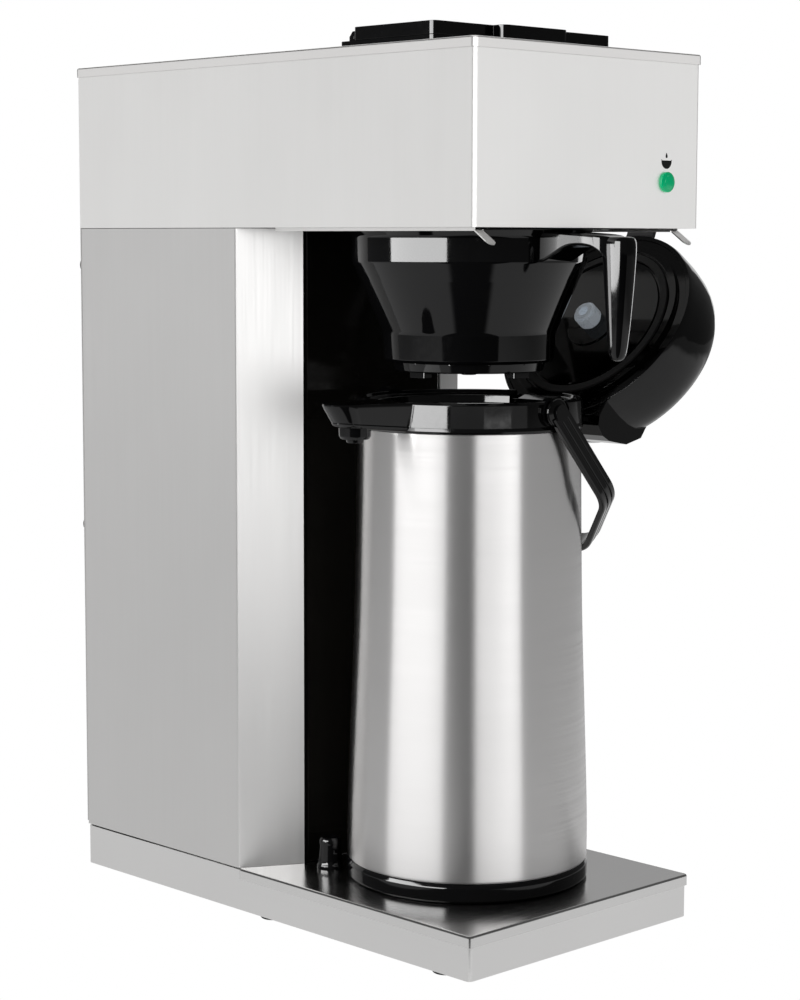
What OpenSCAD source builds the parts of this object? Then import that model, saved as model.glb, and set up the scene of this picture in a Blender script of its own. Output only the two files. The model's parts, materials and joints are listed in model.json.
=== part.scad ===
// Pour-over airpot coffee brewer with brew funnel and airpot.
// Millimetres, +Z up. Origin on the floor, under the brewing axis. X runs to the user's right, Y runs from
// the front to the back. Every sub-part is drawn with y = 0 in the head's front face; place() then moves it.

/* [Cabinet] */
// Width of the cabinet
body_w = 210; // [210:1:230]
// Depth of the cabinet
body_d = 391; // [391:1:420]
// Height of the base above the floor
base_top = 32; // [28:1:36]
// Height of the underside of the head
head_z = 464; // [464:1:480]
// Height of the head
head_h = 112; // [108:1:120]
// Where the column begins, behind the front face
col_y = 219.5; // [218:0.5:222]
// Sheet metal thickness
sheet = 1; // [1:0.1:1.2]

/* [Funnel] */
// Distance of the brewing axis behind the front face
axis_y = 106; // [104:1:108]
// Outer radius of the bowl
bowl_r = 79; // [76:1:80]

/* [Airpot] */
// Largest radius of the airpot body
pot_r = 80.6; // [78:0.1:82]
// Angle of the opened airpot lid from closed
lid_open = 127; // [125:1:129]
// Angle of the bail below the horizontal
bail_drop = 49; // [46:1:49]

/* [Hidden] */
$fn = 96;
hw = body_w / 2;
zh = head_z;
zt = head_z + head_h;
zb = base_top;
ax = 1;
ay = axis_y + 0.5;
hinge_x = 73;
hinge_z = zb + 314;
rim_z = zb + 323;
outlet_x = -103;
rail_drop = 2.2;

// ---------- helpers ----------
module place() {
  translate([0, -axis_y, 0]) children();
}
module rrect(x0, x1, y0, y1, r) {
  translate([x0 + r, y0]) square([x1 - x0 - 2 * r, y1 - y0]);
  translate([x0, y0 + r]) square([x1 - x0, y1 - y0 - 2 * r]);
  for (x = [x0 + r, x1 - r]) for (y = [y0 + r, y1 - r]) translate([x, y]) circle(r);
}
module box(x0, x1, y0, y1, z0, z1) {
  translate([x0, y0, z0]) cube([x1 - x0, y1 - y0, z1 - z0]);
}
module rod_x(x0, x1, y, z, r) {
  translate([x0, y, z]) rotate([0, 90, 0]) cylinder(r = r, h = x1 - x0);
}
module rod_y(x, y0, y1, z, r) {
  translate([x, y0, z]) rotate([-90, 0, 0]) cylinder(r = r, h = y1 - y0);
}
module rod_z(x, y, z0, z1, r) {
  translate([x, y, z0]) cylinder(r = r, h = z1 - z0);
}
module ball(x, y, z, r) {
  translate([x, y, z]) sphere(r);
}
module pair_x() {
  children();
  mirror([1, 0, 0]) children();
}
// Cross-section drawn as (y, z), extruded along x
module along_x(x0, x1) {
  translate([x0, 0, 0]) rotate([90, 0, 90]) linear_extrude(x1 - x0) children();
}
// Cross-section drawn as (x, z), extruded along y
module along_y(y0, y1) {
  translate([0, y1, 0]) rotate([90, 0, 0]) linear_extrude(y1 - y0) children();
}

// ---------- base ----------
module base_skirt() {
  color("silver") place() translate([0, 0, 3]) difference() {
    linear_extrude(zb - 1.2 - 3) rrect(-hw + 0.5, hw - 0.5, 0.6, body_d - 1, 3);
    translate([0, 0, sheet]) linear_extrude(zb) rrect(-hw + 1.5, hw - 1.5, 1.6, body_d - 2, 2);
    translate([0, 0, -1]) linear_extrude(zb) rrect(-hw + 22, hw - 22, 22, body_d - 22, 2);
    for (p = foot_spots()) translate([p[0], p[1], -1]) cylinder(r = 3.4, h = 4);
  }
}
module base_top_plate() {
  color("silver") place() difference() {
    union() {
      translate([0, 0, zb - 1]) linear_extrude(1) rrect(-hw - 0.6, hw + 0.6, -0.5, col_y, 3);
      translate([0, 0, zb - 1]) linear_extrude(1) rrect(-hw + 0.6, hw - 0.6, col_y - 8, body_d - 2, 2);
      translate([0, 0, zb - 7.4]) linear_extrude(7.4) difference() {
        rrect(-hw - 0.6, hw + 0.6, -0.5, col_y, 3);
        rrect(-hw + 0.4, hw - 0.4, 0.5, col_y + 9, 2);
        translate([-hw - 2, col_y - 0.5]) square([2 * hw + 4, 9]);
      }
    }
    for (s = [-1, 1]) translate([s * 58.7, 178, zb - 2]) cylinder(r = 2.3, h = 4);
    box(-60, 60, col_y + 20, body_d - 30, zb - 2, zb + 1);
  }
}
// Four corner feet, two rear feet and one under the airpot
function foot_spots() = [[-hw + 13, 33], [hw - 13, 33], [-hw + 13, 198], [hw - 13, 198],
  [-hw + 30, body_d - 12], [hw - 30, body_d - 12], [0, axis_y]];
module bottom_pan() {
  color("silver") place() difference() {
    union() {
      translate([0, 0, 4]) linear_extrude(1) rrect(-hw + 1.8, hw - 1.8, 2, body_d - 2.4, 2);
      rod_z(0, axis_y, 3, 4.5, 9);
    }
    for (p = foot_spots()) translate([p[0], p[1], 3]) cylinder(r = 3.4, h = 4);
    for (k = [0:5]) box(-40, 40, 250 + 14 * k, 255 + 14 * k, 3, 6);
  }
}
module feet() {
  color("black") place() for (p = foot_spots()) translate([p[0], p[1], 0]) difference() {
    rotate_extrude() polygon([[0, 0], [8.4, 0], [9, 0.6], [9, 3], [0, 3]]);
    translate([0, 0, 1.2]) cylinder(r = 4.6, h = 3);
  }
}
module foot_bolts() {
  color("gray") place() for (p = foot_spots()) translate([p[0], p[1], 0]) {
    translate([0, 0, 1.3]) cylinder(r = 4.4, h = 1.7);
    translate([0, 0, 1.3]) cylinder(r = 3, h = 10);
    translate([0, 0, 5]) cylinder(r = 5.5, h = 4, $fn = 6);
  }
}
module locator_stops() {
  color("black") place() for (s = [-1, 1]) translate([s * 58.7, 178, zb]) difference() {
    rotate_extrude() polygon([[0, 0], [9.2, 0], [9.2, 2.5], [8.2, 4], [6.9, 17], [7.4, 17], [7.4, 19.5],
      [6.2, 21.5], [0, 22]]);
    translate([0, 0, -1]) cylinder(r = 2.05, h = 15);
    translate([0, 0, 18.5]) cylinder(r = 3.4, h = 6);
  }
}
module stop_screws() {
  color("gray") place() for (s = [-1, 1]) translate([s * 58.7, 178, 0]) {
    translate([0, 0, zb - 3.6]) cylinder(r = 4.2, h = 2.6);
    translate([0, 0, zb - 3.6]) cylinder(r = 2, h = 16);
  }
}

// ---------- column ----------
module side_sheet() {
  translate([0, 0, zb + 0.4]) linear_extrude(zh - zb - 0.8) polygon([[-hw, body_d - 1], [-hw, col_y],
    [-62, 196], [-62, 208], [-63, 208], [-63, 197.7], [-hw + 1, col_y + 0.6], [-hw + 1, body_d - 2],
    [-hw + 13, body_d - 2], [-hw + 13, body_d - 1]]);
}
module side_panel_left() {
  color("silver") place() difference() {
    side_sheet();
    panel_screw_holes();
    bumper_holes();
  }
}
module side_panel_right() {
  color("silver") place() difference() {
    mirror([1, 0, 0]) side_sheet();
    panel_screw_holes();
    bumper_holes();
  }
}
module splash_panel() {
  color("black") place() {
    box(-61.6, 61.6, 197, 199, zb + 0.4, zh - 0.4);
    pair_x() box(-61.6, -59.6, 197, 207, zb + 0.4, zh - 0.4);
  }
}
function screw_spots() = [for (x = [-98, 98], z = [70, 180, 330, 500]) [x, z]];
module panel_screw_holes() {
  for (p = screw_spots()) rod_y(p[0] * hw / 105, body_d - 6, body_d + 3, p[1], 1.75);
}
function bumper_spots() = [for (x = [-96.5, 96.5], z = [252, 438]) [x, z]];
module bumper_holes() {
  for (p = bumper_spots()) rod_y(p[0] * hw / 105, body_d - 6, body_d + 3, p[1], 2.2);
}
module rear_panel() {
  color("silver") place() difference() {
    box(-hw + 0.6, hw - 0.6, body_d - 0.9, body_d + 0.1, zb + 2, zt - 8);
    panel_screw_holes();
    bumper_holes();
    for (k = [0:7]) {
      box(-50, 50, body_d - 4, body_d + 4, 62 + 9 * k, 66 + 9 * k);
      box(-50, 50, body_d - 4, body_d + 4, 488 + 9 * k, 492 + 9 * k);
    }
    box(-72, -44.6, body_d - 4, body_d + 4, 385, 398.2);
    rod_y(60, body_d - 4, body_d + 4, 150, 9.1);
  }
}
module rear_panel_screws() {
  color("gray") place() for (p = screw_spots()) translate([p[0] * hw / 105, body_d, p[1]]) difference() {
    union() {
      rod_y(0, 0.1, 2.3, 0, 3.3);
      rod_y(0, -4.5, 0.4, 0, 1.7);
    }
    translate([-2.6, 1.4, -0.4]) cube([5.2, 2, 0.8]);
    translate([-0.4, 1.4, -2.6]) cube([0.8, 2, 5.2]);
  }
}
module rear_bumpers() {
  color("black") place() for (p = bumper_spots()) translate([p[0] * hw / 105, body_d + 0.1, p[1]]) {
    rotate([-90, 0, 0]) rotate_extrude() polygon([[0, 0], [7, 0], [7, 2], [6.2, 3], [0, 3.4]]);
    rod_y(0, -5, 0.2, 0, 2.15);
  }
}

// ---------- head ----------
module head_shell() {
  color("silver") place() difference() {
    union() {
      translate([0, 0, zh]) linear_extrude(head_h - 1.4) difference() {
        rrect(-hw, hw, 0, body_d + 20, 3);
        rrect(-hw + 1, hw - 1, 1, body_d + 40, 2);
        translate([-hw - 2, body_d - 1]) square([2 * hw + 4, 60]);
      }
      translate([0, 0, zh]) linear_extrude(1) difference() {
        rrect(-hw + 0.2, hw - 0.2, 0.2, 196, 2.8);
        translate([-hw + 8.6, 8.6]) square([2 * hw - 17.2, 200]);
        translate([-120, 190]) square([240, 10]);
      }
      pair_x() box(-hw, -hw + 13, body_d - 2, body_d - 1, zh + 2, zt - 6);
    }
    rod_y(72, -2, 4, zh + 29.5, 5.1);
    panel_screw_holes();
  }
}
module head_lid() {
  color("silver") place() difference() {
    translate([0, 0, zt - 6.4]) linear_extrude(6.4) rrect(-hw - 1.2, hw + 1.2, -1.2, body_d + 1.6, 4);
    translate([0, 0, zt - 8]) linear_extrude(7) rrect(-hw - 0.2, hw + 0.2, -0.2, body_d + 0.6, 2);
    box(-70, 70, 66, 126, zt - 3, zt + 2);
  }
}
module head_bottom_pan() {
  color("silver") place() difference() {
    union() {
      box(-hw + 1.8, hw - 1.8, 1.8, 195, zh + 1, zh + 2);
      box(-hw + 1.4, hw - 1.4, 194, 195, zh + 1, zh + 10);
    }
    rod_z(0, axis_y, zh, zh + 3, 9.2);
    for (s = [-1, 1]) for (y = [40, 110, 180]) rod_z(s * 84, y, zh, zh + 3, 1.75);
  }
}
module rail_left() {
  difference() {
    union() {
      box(-95.5, -94.5, 9, 190, zh - rail_drop, zh + 1);
      box(-95.5, -87.5, 9, 190, zh - rail_drop, zh - rail_drop + 0.8);
      box(-95.5, -79, 24, 190, zh, zh + 1);
      translate([0, 9, zh - rail_drop + 0.8]) rotate([34, 0, 0]) translate([-92, -12, -0.8]) {
        translate([-3.5, 0, 0]) cube([7, 12, 0.8]);
        cylinder(r = 3.5, h = 0.8);
      }
    }
    for (y = [40, 110, 180]) rod_z(-84, y, zh - 1, zh + 3, 1.75);
  }
}
module funnel_rail_left() {
  color("silver") place() rail_left();
}
module funnel_rail_right() {
  color("silver") place() mirror([1, 0, 0]) rail_left();
}
module rail_screws() {
  color("gray") place() for (s = [-1, 1]) for (y = [40, 110, 180]) {
    rod_z(s * 84, y, zh, zh + 6, 1.7);
    translate([s * 84, y, zh + 2]) cylinder(r = 3.4, h = 2.4, $fn = 6);
  }
}
module spray_plate() {
  color("silver") place() difference() {
    union() {
      rod_z(0, axis_y, zh - 0.1, zh + 0.6, 30);
      rod_z(0, axis_y, zh + 0.6, zh + 1, 12);
    }
    rod_z(0, axis_y, zh - 2, zh + 2, 4.6);
    for (k = [0:9]) rotate_about(36 * k) rod_z(22, 0, zh - 2, zh + 2, 1.5);
    for (k = [0:5]) rotate_about(60 * k) rod_z(16, 0, zh - 2, zh + 2, 1.5);
  }
}
module rotate_about(a) {
  translate([0, axis_y, 0]) rotate([0, 0, a]) children();
}
module spray_fitting() {
  color("gray") place() difference() {
    union() {
      rod_z(0, axis_y, zh - 0.1, zh + 15, 4.5);
      translate([0, axis_y, zh + 2]) cylinder(r = 13, h = 4, $fn = 6);
    }
    rod_z(0, axis_y, zh - 2, zh + 30, 2.8);
  }
}
// Hollow tube pieces: a straight run and a quarter bend in the YZ plane, starting at angle a
module tube_run(h) {
  linear_extrude(h) tube_section();
}
module tube_section() {
  difference() {
    circle(6.5);
    circle(4.6);
  }
}
module tube_bend(y, z, a) {
  translate([0, y, z]) rotate([90, 0, 90]) rotate([0, 0, a]) rotate_extrude(angle = 90) translate([12, 0])
    tube_section();
}
module tube_level(y0, y1, z) {
  translate([0, y0, z]) rotate([-90, 0, 0]) tube_run(y1 - y0);
}
module spray_tube() {
  color("white") place() {
    translate([0, axis_y, zh + 12]) tube_run(3);
    tube_bend(axis_y + 12, zh + 15, 90);
    tube_level(axis_y + 12, 250, zh + 27);
    tube_bend(250, zh + 15, 0);
    translate([0, 262, 432]) tube_run(zh + 15 - 432);
  }
}
module fill_tube() {
  color("white") place() translate([34, 0, 0]) {
    translate([0, 176, zh + 32]) tube_run(3);
    tube_bend(188, zh + 32, 180);
    tube_level(188, 318, zh + 20);
    tube_bend(318, zh + 8, 0);
    translate([0, 330, 270]) tube_run(zh + 8 - 270);
  }
}
module water_basin() {
  color("dimgray") place() difference() {
    union() {
      translate([0, 0, zh + 40]) linear_extrude(head_h - 42) rrect(-96, 96, 30, 192, 8);
      rod_z(34, 176, zh + 32, zh + 41, 4.5);
    }
    translate([0, 0, zh + 42]) linear_extrude(head_h) rrect(-94, 94, 32, 190, 6);
    rod_z(34, 176, zh + 20, zh + 44, 3);
  }
}
module cover_frame() {
  color("black") place() difference() {
    union() {
      translate([0, 0, zt]) linear_extrude(5.5) rrect(-82, 82, 57, 143, 4);
      translate([0, 0, zt - 9]) linear_extrude(9.5) rrect(-69.6, 69.6, 66.4, 125.6, 4);
      pair_x() along_x(-74, -62) polygon([[130.9, zt + 5], [130.9, zt + 9], [133.5, zt + 12.4],
        [139, zt + 12.4], [142, zt + 9], [142, zt + 5]]);
    }
    translate([0, 0, zt - 10]) linear_extrude(20) rrect(-66.5, 66.5, 69.5, 122.5, 3);
    rod_x(-80, 80, 136.4, zt + 8.4, 1.55);
    box(-61.8, 61.8, 131.2, 141.4, zt + 3, zt + 8);
  }
}
module cover_lid() {
  color("black") place() difference() {
    union() {
      translate([0, 0, zt + 5.7]) linear_extrude(8.3) rrect(-82, 82, 57, 130.6, 4);
      translate([0, 0, zt + 5.7]) linear_extrude(8.3) rrect(-30, 30, 47, 64, 5);
      for (x = [-61.6, -10, 40]) {
        along_x(x, x + 21.6) polygon([[129, zt + 10], [129, zt + 14], [135, zt + 13], [138, zt + 12],
          [140.6, zt + 8.4], [138, zt + 4.6], [134.6, zt + 4.6], [133, zt + 6.5]]);
      }
    }
    translate([0, 0, zt + 4]) linear_extrude(7) rrect(-79.5, 79.5, 59.5, 128, 3);
    translate([0, 0, zt + 4]) linear_extrude(4.4) rrect(-27.5, 27.5, 49.5, 66, 3);
    rod_x(-80, 80, 136.4, zt + 8.4, 1.55);
  }
}
module cover_hinge_pin() {
  color("gray") place() rod_x(-73, 73, 136.4, zt + 8.4, 1.5);
}
module pilot_lamp_lens() {
  color("green") place() translate([72, 0, zh + 29.5]) rotate([90, 0, 0]) rotate_extrude()
    polygon([[0, 0.6], [5.4, 0.6], [5.4, 0], [6.5, 0], [6.5, 1.6], [5.9, 2.2], [4.4, 2.6], [4.2, 3.1],
      [2.4, 3.7], [0, 3.9]]);
}
module pilot_lamp_body() {
  color("white") place() translate([72, 0, zh + 29.5]) {
    rod_y(0, -0.6, 22, 0, 4.95);
    rod_y(0, 1, 4, 0, 7);
    rod_y(-2, 22, 27, 0, 0.8);
    rod_y(2, 22, 27, 0, 0.8);
  }
}

// ---------- water heating ----------
module tank() {
  color("silver") place() difference() {
    union() {
      translate([0, 0, 250]) linear_extrude(190) rrect(-72, 72, 236, 356, 14);
      translate([0, 0, 438.8]) linear_extrude(1.2) rrect(-82, 82, 226, 366, 10);
    }
    translate([0, 0, 251]) linear_extrude(200) rrect(-71, 71, 237, 355, 13);
    for (p = lid_bolts()) rod_z(p[0], p[1], 430, 445, 2.1);
  }
}
function lid_bolts() = [[-77, 232], [77, 232], [-77, 360], [77, 360]];
module tank_gasket() {
  color("red") place() difference() {
    translate([0, 0, 440]) linear_extrude(1.5) rrect(-81, 81, 227, 365, 9);
    translate([0, 0, 439]) linear_extrude(4) rrect(-71, 71, 237, 355, 13);
    for (p = lid_bolts()) rod_z(p[0], p[1], 430, 445, 2.1);
  }
}
module tank_lid() {
  color("silver") place() {
    difference() {
      translate([0, 0, 441.5]) linear_extrude(1.5) rrect(-82, 82, 226, 366, 10);
      rod_z(0, 262, 440, 445, 6.6);
      rod_z(34, 330, 440, 445, 6.6);
      for (x = [-45, -15]) rod_z(x, 320, 440, 445, 4.1);
      rod_z(-50, 270, 440, 445, 4.1);
      for (p = lid_bolts()) rod_z(p[0], p[1], 430, 445, 2.1);
    }
    for (p = lid_bolts()) {
      rod_z(p[0], p[1], 436, 443.2, 2);
      translate([p[0], p[1], 443]) cylinder(r = 4, h = 3, $fn = 6);
      translate([p[0], p[1], 435.6]) cylinder(r = 4, h = 3, $fn = 6);
    }
  }
}
module tank_shelf() {
  color("silver") place() difference() {
    union() {
      box(-hw + 1.6, hw - 1.6, 222, body_d - 6, 248.6, 250);
      pair_x() box(-hw + 1.6, -hw + 2.6, 222, body_d - 6, 236, 250);
    }
    box(84, 98, 250, body_d - 8, 240, 255);
    box(-70, -50, body_d - 25, body_d - 12, 240, 255);
  }
}
module heating_element() {
  color("gray") place() {
    translate([-30, 296, 266]) difference() {
      rotate_extrude() translate([28, 0]) circle(r = 4, $fn = 48);
      translate([-15, 12, -6]) cube([30, 40, 12]);
    }
    for (x = [-45, -15]) {
      rod_z(x, 320, 266, 456, 4);
      ball(x, 320, 266, 4);
      rod_z(x, 320, 456, 464, 1.6);
      translate([x, 320, 443]) cylinder(r = 8, h = 4, $fn = 6);
    }
  }
}
module thermostat() {
  color("dimgray") place() {
    translate([-50, 270, 300]) cylinder(r = 4, h = 150);
    box(-62, -38, 256, 284, 449, 472);
    rod_z(-50, 270, 472, 480, 3);
  }
}
module limit_thermostat() {
  color("black") place() {
    rod_y(0, 226.5, 236, 400, 9);
    for (s = [-1, 1]) box(s * 4 - 0.4, s * 4 + 0.4, 219, 227, 397, 403);
  }
}
module terminal_block() {
  color("ivory") place() difference() {
    box(28, 76, body_d - 18, body_d - 3.2, 180, 200);
    for (k = [0:3]) rod_y(34 + 12 * k, body_d - 19, body_d - 10, 190, 3);
  }
}
module wire(x, y0, y1, z0, z1, r) {
  rod_z(x, y0, z0, z1, r);
  ball(x, y0, z1, r);
  rod_y(x, y0, y1, z1, r);
}
module wiring() {
  color("red") place() {
    wire(91, 380, 384, 196, 460, 1.5);
    rod_x(36, 91, 371.5, 196, 1.5);
    rod_y(91, 371.5, 380, 196, 1.5);
    ball(91, 371.5, 196, 1.5);
    ball(91, 380, 196, 1.5);
  }
  color("white") place() {
    rod_x(-58, 46, 371.5, 214, 1.5);
    ball(-58, 371.5, 214, 1.5);
    rod_z(-58, 371.5, 214, 382, 1.5);
    ball(46, 371.5, 214, 1.5);
    rod_z(46, 371.5, 201, 214, 1.5);
  }
}
module rocker_frame() {
  color("black") place() {
    difference() {
      union() {
        box(-74.3, -42.3, body_d + 0.1, body_d + 2.1, 383, 400.2);
        box(-71.9, -44.7, body_d - 20, body_d + 1, 385.1, 398.1);
      }
      box(-70.3, -46.3, body_d - 12, body_d + 4, 386.6, 396.6);
      rod_z(-58.3, body_d - 3, 384.5, 398.7, 1.55);
    }
    for (x = [-66, -51]) box(x - 0.4, x + 0.4, body_d - 27, body_d - 19.5, 388.6, 394.6);
  }
}
module rocker() {
  color("dimgray") place() {
    translate([-58.3, body_d - 3, 391.6]) {
      rotate([0, 0, 8]) translate([0, 0, -4.8]) linear_extrude(9.6)
        polygon([[-10.6, 2], [-10.6, 6.6], [0, 5.2], [10.6, 6.6], [10.6, 2], [4, -4.4], [-4, -4.4]]);
      rod_z(0, 0, -6, 6, 1.5);
    }
  }
}
module strain_relief() {
  color("black") place() difference() {
    union() {
      rod_y(60, body_d + 0.1, body_d + 3, 150, 12);
      rod_y(60, body_d - 9, body_d + 3, 150, 9);
      rod_y(60, body_d + 3, body_d + 14, 150, 7.5);
    }
    rod_y(60, body_d - 12, body_d + 16, 150, 4.05);
  }
}
module power_cord() {
  color("black") place() {
    rod_y(60, body_d - 22, body_d + 22, 150, 4);
    ball(60, body_d + 22, 150, 4);
    rod_z(60, body_d + 22, 24, 150, 4);
    ball(60, body_d + 22, 24, 4);
    rod_x(-60, 60, body_d + 22, 24, 4);
    ball(-60, body_d + 22, 24, 4);
    rod_z(-60, body_d + 22, 24, 62, 4);
    difference() {
      translate([-60, body_d + 22, 60]) cylinder(r = 9, h = 5);
      translate([-60, body_d + 22, 59]) cylinder(r = 3.5, h = 2);
    }
    translate([-60, body_d + 22, 64]) cylinder(r = 14.5, h = 24);
    for (s = [-1, 1]) box(-60.8 + 6.35 * s, -59.2 + 6.35 * s, body_d + 19, body_d + 25, 87, 104);
    rod_z(-60, body_d + 13, 87, 104, 2.4);
  }
}

// ---------- brew funnel ----------
module bowl_outline() {
  polygon([[0, zh - 93], [48.6, zh - 93], [50.5, zh - 87], [54.6, zh - 87], [56, zh - 85], [57, zh - 67],
    [72, zh - 33], [75, zh - 26], [77, zh - 18], [bowl_r, zh - 5], [bowl_r, zh - 1.3], [93.5, zh - 1.3],
    [93.5, zh - 0.3], [0, zh - 0.3]]);
}
module bowl_hollow() {
  polygon([[0, zh - 89], [45, zh - 84], [52.5, zh - 83], [54, zh - 66], [69, zh - 32], [72, zh - 25],
    [74, zh - 17], [bowl_r - 3, zh - 5], [bowl_r - 3, zh + 1], [0, zh + 1]]);
}
module brew_funnel() {
  color("black") place() difference() {
    union() {
      intersection() {
        translate([0, axis_y, 0]) rotate_extrude() bowl_outline();
        box(-100, 100, -10, 194, 300, zh);
      }
      for (a = [0:90:270]) rotate_about(a) box(41, 48, -7, 7, zh - 96.6, zh - 92);
      rotate_about(0) rod_z(0, 0, zh - 96, zh - 92, 5);
      // Web and pistol grip
      intersection() {
        along_x(-12, 12) polygon([[48, zh - 1.6], [48, zh - 21], [26, zh - 21], [16, zh - 14], [6, zh - 13],
          [-4, zh - 14], [-10, zh - 18], [-13, zh - 26], [-14, zh - 60], [-15.5, zh - 78], [-19, zh - 82.5],
          [-26, zh - 82.5], [-29.5, zh - 78], [-32, zh - 50], [-34, zh - 14], [-32.5, zh - 9], [-28, zh - 7],
          [0, zh - 3.6]]);
        translate([0, 0, zh - 100]) linear_extrude(110)
          polygon([[-12, 50], [-12, 20], [-8.2, -8], [-8.2, -36], [8.2, -36], [8.2, -8], [12, 20], [12, 50]]);
      }
    }
    translate([0, axis_y, 0]) rotate_extrude() bowl_hollow();
    rotate_about(0) rod_z(0, 0, zh - 120, zh - 80, 3.2);
  }
  color("black") place() for (k = [0:11]) rotate_about(30 * k) box(20, 50, -1, 1, zh - 88, zh - 80);
}

// ---------- airpot ----------
module pot() {
  translate([ax, ay, 0]) children();
}
module airpot_base_ring() {
  color("black") place() pot() rotate_extrude() polygon([[58, zb + 3], [62, zb + 0.1], [79.6, zb + 0.1],
    [pot_r + 0.4, zb + 1.5], [pot_r + 0.4, zb + 11.5], [pot_r - 0.6, zb + 13], [58, zb + 13]]);
}
module airpot_body() {
  color("silver") place() pot() difference() {
    rotate_extrude() polygon([[0, zb + 13.1], [pot_r - 1.6, zb + 13.1], [pot_r, zb + 14.6],
      [pot_r - 0.2, zb + 48], [pot_r - 2.5, zb + 117], [pot_r - 4.8, zb + 185],
      [pot_r - 6.2, zb + 272], [pot_r - 6.4, zb + 302],
      [0, zb + 302]]);
    rotate_extrude() polygon([[0, zb + 15], [pot_r - 2, zb + 15], [pot_r - 1.2, zb + 48],
      [pot_r - 3.5, zb + 117],
      [pot_r - 5.8, zb + 185], [pot_r - 7.2, zb + 272], [pot_r - 7.4, zb + 304], [0, zb + 304]]);
  }
}
module airpot_liner() {
  color("lightgray") place() pot() difference() {
    rotate_extrude() polygon([[0, zb + 22], [58, zb + 22], [66, zb + 30], [66, zb + 262], [58, zb + 282],
      [44, zb + 290], [44, zb + 306], [0, zb + 306]]);
    rotate_extrude() polygon([[0, zb + 23], [57, zb + 23], [65, zb + 31], [65, zb + 262], [57, zb + 281],
      [43, zb + 289], [43, zb + 308], [0, zb + 308]]);
  }
}
module airpot_collar() {
  color("black") place() pot() difference() {
    union() {
      rotate_extrude() polygon([[44.1, zb + 302.2], [75.4, zb + 302.2], [75.8, zb + 304], [75, zb + 305],
        [75, zb + 317], [74, zb + 319.4], [73, zb + 322], [68, zb + 322], [67.4, zb + 312], [50, zb + 308],
        [44.1, zb + 308]]);
      for (s = [-1, 1]) {
        rod_y(0, s > 0 ? 70 : -76.8, s > 0 ? 76.8 : -70, zb + 315, 9.2);
      }
    }
    box(60, 90, -21.5, 21.5, zb + 306, zb + 330);
    rod_y(hinge_x, -33, 33, hinge_z, 2.05);
    rod_y(0, -90, 90, zb + 315, 3.05);
  }
  color("black") place() pot() for (s = [-1, 1]) difference() {
    union() {
      box(66, 75, s * 27 - 4, s * 27 + 4, zb + 304, zb + 312);
      rod_y(hinge_x, s * 27 - 4, s * 27 + 4, zb + 314, 5);
      box(68, 78, s * 27 - 4, s * 27 + 4, zb + 305, zb + 314);
    }
    rod_y(hinge_x, s * 27 - 6, s * 27 + 6, hinge_z, 2.05);
  }
}
module airpot_spout() {
  color("black") place() pot() difference() {
    intersection() {
      along_y(-40, 40) polygon([[-71, zb + 303], [-71, zb + 322], [-127, zb + 322], [-127, zb + 319],
        [-125, zb + 317], [-121.5, zb + 311], [-119, zb + 308], [-117, zb + 307], [-74, zb + 302.6]]);
      translate([0, 0, zb + 290]) linear_extrude(60) union() {
        translate([-114, 0]) circle(r = 12.5);
        polygon([[-114, -12.5], [-60, -22.3], [-60, 22.3], [-114, 12.5]]);
      }
    }
    cylinder(r = 75.9, h = 400);
    box(-112, -78, -9, 9, zb + 309.5, zb + 316);
    rod_z(outlet_x, 0, zb + 290, zb + 307.6, 10.55);
    rod_z(outlet_x, 0, zb + 306, zb + 312, 7.05);
  }
}
module spout_nozzle() {
  color("black") place() pot() difference() {
    union() {
      rod_z(outlet_x, 0, zb + 299, zb + 307.5, 10.5);
      rod_z(outlet_x, 0, zb + 296.8, zb + 299.2, 5.8);
      rod_z(outlet_x, 0, zb + 307, zb + 311, 7);
    }
    rod_z(outlet_x, 0, zb + 290, zb + 313, 4.2);
  }
}

// ---------- airpot lid, drawn closed and turned open about its hinge ----------
module lid_turn() {
  translate([ax + hinge_x, ay, hinge_z]) rotate([0, lid_open, 0]) translate([-hinge_x, 0, -hinge_z])
    children();
}
module lid_shell() {
  color("black") place() lid_turn() difference() {
    union() {
      rotate_extrude() polygon([[0, rim_z], [75.4, rim_z], [76.2, rim_z + 3], [76.8, rim_z + 18],
        [76.2, rim_z + 29], [74.4, rim_z + 37], [70.6, rim_z + 44], [64, rim_z + 49], [55, rim_z + 52],
        [46, rim_z + 53], [0, rim_z + 53]]);
      along_y(-44, 44) polygon([[40, rim_z + 1], [74, rim_z + 1], [80, rim_z + 4], [83, rim_z + 12],
        [82, rim_z + 20], [74, rim_z + 36], [62, rim_z + 46], [40, rim_z + 46]]);
      along_y(-20, 20) polygon([[60, rim_z + 4], [60, rim_z - 1], [68, hinge_z - 1], [74, hinge_z - 5],
        [78, hinge_z], [78, rim_z + 4]]);
    }
    translate([0, 0, rim_z - 1]) cylinder(r = 72.6, h = 5);
    rotate_extrude() polygon([[0, rim_z - 1], [70, rim_z + 4], [73, rim_z + 5], [74, rim_z + 18],
      [73.2, rim_z + 28], [71.4, rim_z + 36], [68, rim_z + 41.6], [62.6, rim_z + 46],
      [54.4, rim_z + 48.8], [44.5, rim_z + 50],
      [44.5, rim_z + 60], [0, rim_z + 60]]);
    rod_y(hinge_x, -30, 30, hinge_z, 2.05);
  }
}
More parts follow.
